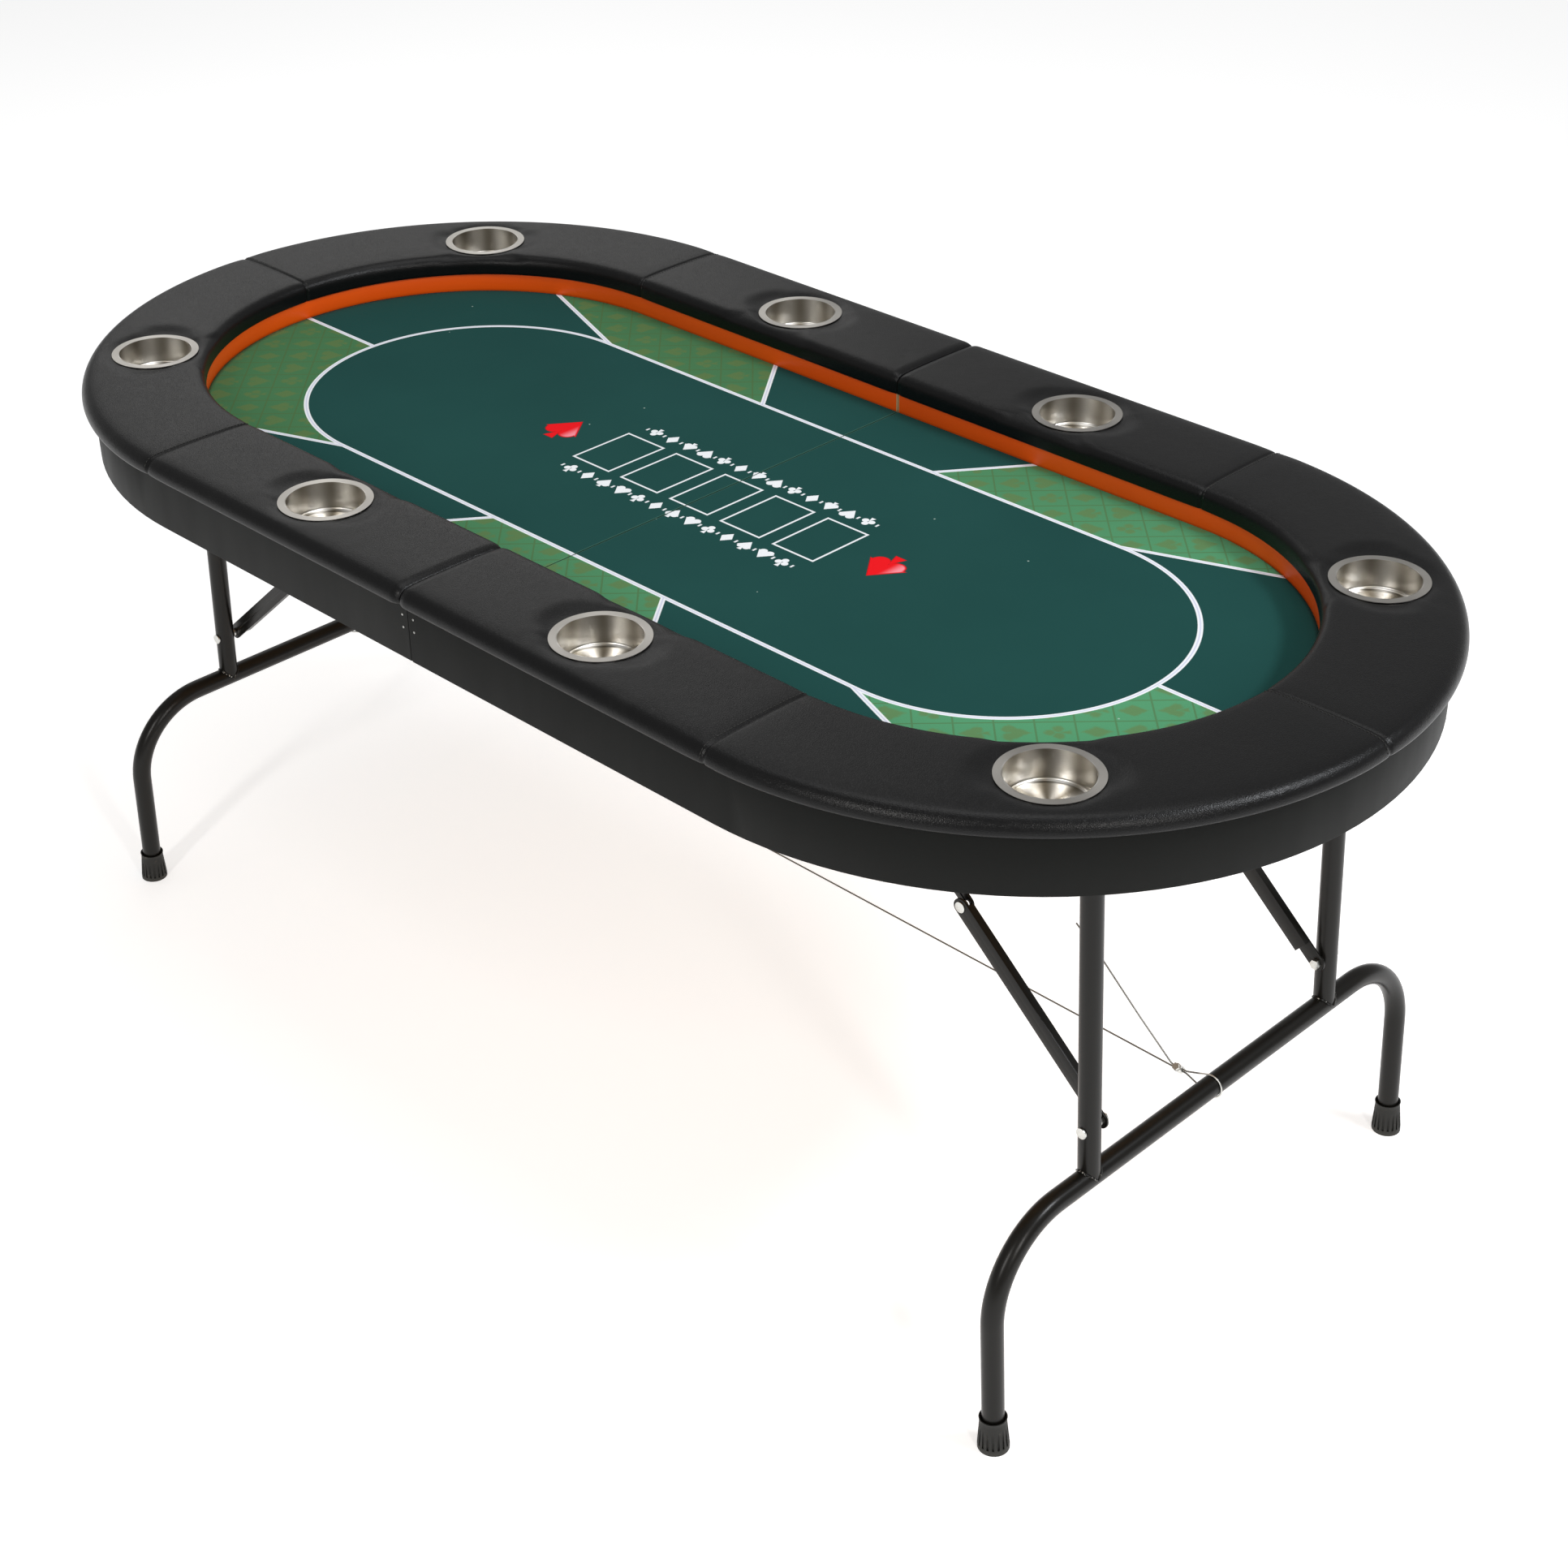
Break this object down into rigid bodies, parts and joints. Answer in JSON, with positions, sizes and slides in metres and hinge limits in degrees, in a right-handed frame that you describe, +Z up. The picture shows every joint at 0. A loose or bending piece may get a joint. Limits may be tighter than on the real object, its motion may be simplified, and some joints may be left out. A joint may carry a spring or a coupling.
{
  "type": "folding poker table",
  "caption": "Oval poker table with padded rail, steel cup wells and printed cloth, split in two hinged halves on braced folding tube legs.",
  "frame": {"origin": "on the floor under the middle of the table top", "axes": "+X along the long axis towards the right half, +Y towards the rear long side, +Z up"},
  "size_m": [1.8288, 0.914, 0.762],
  "materials": {
    "rail_leatherette": "grained satin",
    "playing_cloth": "printed cloth",
    "painted_wood": "painted",
    "skirt_vinyl": "matte",
    "bare_wood": "raw",
    "cup_steel": "brushed",
    "foot_rubber": "matte",
    "zinc_steel": "zinc plated",
    "cable_steel": "stranded",
    "rivet_steel": "polished",
    "black_powder_coat": "powder coat"
  },
  "bodies": {
    "right_half": {"right_playfield_board": "bare_wood", "right_felt": "playing_cloth", "right_inner_wall": "painted_wood", "right_skirt": "skirt_vinyl", "right_rail_base": "bare_wood", "right_rail_cushion": "rail_leatherette", "right_centre_batten": "bare_wood", "right_side_cup_front": "cup_steel", "right_side_cup_rear": "cup_steel", "right_end_cup_front": "cup_steel", "right_end_cup_rear": "cup_steel", "right_leg_brackets": "black_powder_coat", "right_brace_anchors": "black_powder_coat", "right_hinge_leaves": "zinc_steel", "right_screws": "zinc_steel", "hinge_pins": "zinc_steel"},
    "left_half": {"left_playfield_board": "bare_wood", "left_felt": "playing_cloth", "left_inner_wall": "painted_wood", "left_skirt": "skirt_vinyl", "left_rail_base": "bare_wood", "left_rail_cushion": "rail_leatherette", "left_centre_batten": "bare_wood", "left_side_cup_front": "cup_steel", "left_side_cup_rear": "cup_steel", "left_end_cup_front": "cup_steel", "left_end_cup_rear": "cup_steel", "left_leg_brackets": "black_powder_coat", "left_brace_anchors": "black_powder_coat", "left_hinge_leaves": "zinc_steel", "left_screws": "zinc_steel"},
    "right_leg_frame": {"right_pivot_bar": "black_powder_coat", "right_upright_front": "black_powder_coat", "right_upright_rear": "black_powder_coat", "right_crossbar": "black_powder_coat", "right_foot_front": "foot_rubber", "right_foot_rear": "foot_rubber", "right_brace_bolts": "rivet_steel", "right_cable_clip": "zinc_steel", "tie_cable": "cable_steel"},
    "left_leg_frame": {"left_pivot_bar": "black_powder_coat", "left_upright_front": "black_powder_coat", "left_upright_rear": "black_powder_coat", "left_crossbar": "black_powder_coat", "left_foot_front": "foot_rubber", "left_foot_rear": "foot_rubber", "left_brace_bolts": "rivet_steel", "left_cable_clip": "zinc_steel"},
    "right_lower_brace_front": {"right_lower_brace_front": "black_powder_coat", "right_joint_rivet_front": "rivet_steel"},
    "right_upper_brace_front": {"right_upper_brace_front": "black_powder_coat"},
    "right_lower_brace_rear": {"right_lower_brace_rear": "black_powder_coat", "right_joint_rivet_rear": "rivet_steel"},
    "right_upper_brace_rear": {"right_upper_brace_rear": "black_powder_coat"},
    "left_lower_brace_front": {"left_lower_brace_front": "black_powder_coat", "left_joint_rivet_front": "rivet_steel"},
    "left_upper_brace_front": {"left_upper_brace_front": "black_powder_coat"},
    "left_lower_brace_rear": {"left_lower_brace_rear": "black_powder_coat", "left_joint_rivet_rear": "rivet_steel"},
    "left_upper_brace_rear": {"left_upper_brace_rear": "black_powder_coat"}
  },
  "joints": [
    {"name": "table_fold", "type": "hinge", "parent": "right_half", "child": "left_half", "pos_m": [0, 0, 0.6645], "axis": [0, -1, 0], "range_deg": [0, 90]},
    {"name": "right_leg_fold", "type": "hinge", "parent": "right_half", "child": "right_leg_frame", "pos_m": [0.7276, 0, 0.6825], "axis": [0, 1, 0], "range_deg": [0, 93], "deforming": ["tie_cable"]},
    {"name": "right_lower_brace_front_turn", "type": "hinge", "parent": "right_leg_frame", "child": "right_lower_brace_front", "pos_m": [0.74649, -0.185, 0.32199], "axis": [0, 1, 0], "range_deg": [0, 45.86]},
    {"name": "right_upper_brace_front_turn", "type": "hinge", "parent": "right_half", "child": "right_upper_brace_front", "pos_m": [0.334, -0.185, 0.6825], "axis": [0, 1, 0], "range_deg": [-41.16, 0]},
    {"name": "right_lower_brace_rear_turn", "type": "hinge", "parent": "right_leg_frame", "child": "right_lower_brace_rear", "pos_m": [0.74649, 0.185, 0.32199], "axis": [0, 1, 0], "range_deg": [0, 45.86]},
    {"name": "right_upper_brace_rear_turn", "type": "hinge", "parent": "right_half", "child": "right_upper_brace_rear", "pos_m": [0.334, 0.185, 0.6825], "axis": [0, 1, 0], "range_deg": [-41.16, 0]},
    {"name": "left_leg_fold", "type": "hinge", "parent": "left_half", "child": "left_leg_frame", "pos_m": [-0.7276, 0, 0.6825], "axis": [0, -1, 0], "range_deg": [0, 93]},
    {"name": "left_lower_brace_front_turn", "type": "hinge", "parent": "left_leg_frame", "child": "left_lower_brace_front", "pos_m": [-0.74649, -0.185, 0.32199], "axis": [0, -1, 0], "range_deg": [0, 45.86]},
    {"name": "left_upper_brace_front_turn", "type": "hinge", "parent": "left_half", "child": "left_upper_brace_front", "pos_m": [-0.334, -0.185, 0.6825], "axis": [0, -1, 0], "range_deg": [-41.16, 0]},
    {"name": "left_lower_brace_rear_turn", "type": "hinge", "parent": "left_leg_frame", "child": "left_lower_brace_rear", "pos_m": [-0.74649, 0.185, 0.32199], "axis": [0, -1, 0], "range_deg": [0, 45.86]},
    {"name": "left_upper_brace_rear_turn", "type": "hinge", "parent": "left_half", "child": "left_upper_brace_rear", "pos_m": [-0.334, 0.185, 0.6825], "axis": [0, -1, 0], "range_deg": [-41.16, 0]}
  ],
  "couplings": [
    {"joint": "right_lower_brace_front_turn", "follows": "right_leg_fold", "ratio": 0.49299},
    {"joint": "right_upper_brace_front_turn", "follows": "right_leg_fold", "ratio": -0.4425},
    {"joint": "right_lower_brace_rear_turn", "follows": "right_leg_fold", "ratio": 0.49299},
    {"joint": "right_upper_brace_rear_turn", "follows": "right_leg_fold", "ratio": -0.4425},
    {"joint": "left_lower_brace_front_turn", "follows": "left_leg_fold", "ratio": 0.49299},
    {"joint": "left_upper_brace_front_turn", "follows": "left_leg_fold", "ratio": -0.4425},
    {"joint": "left_lower_brace_rear_turn", "follows": "left_leg_fold", "ratio": 0.49299},
    {"joint": "left_upper_brace_rear_turn", "follows": "left_leg_fold", "ratio": -0.4425}
  ]
}
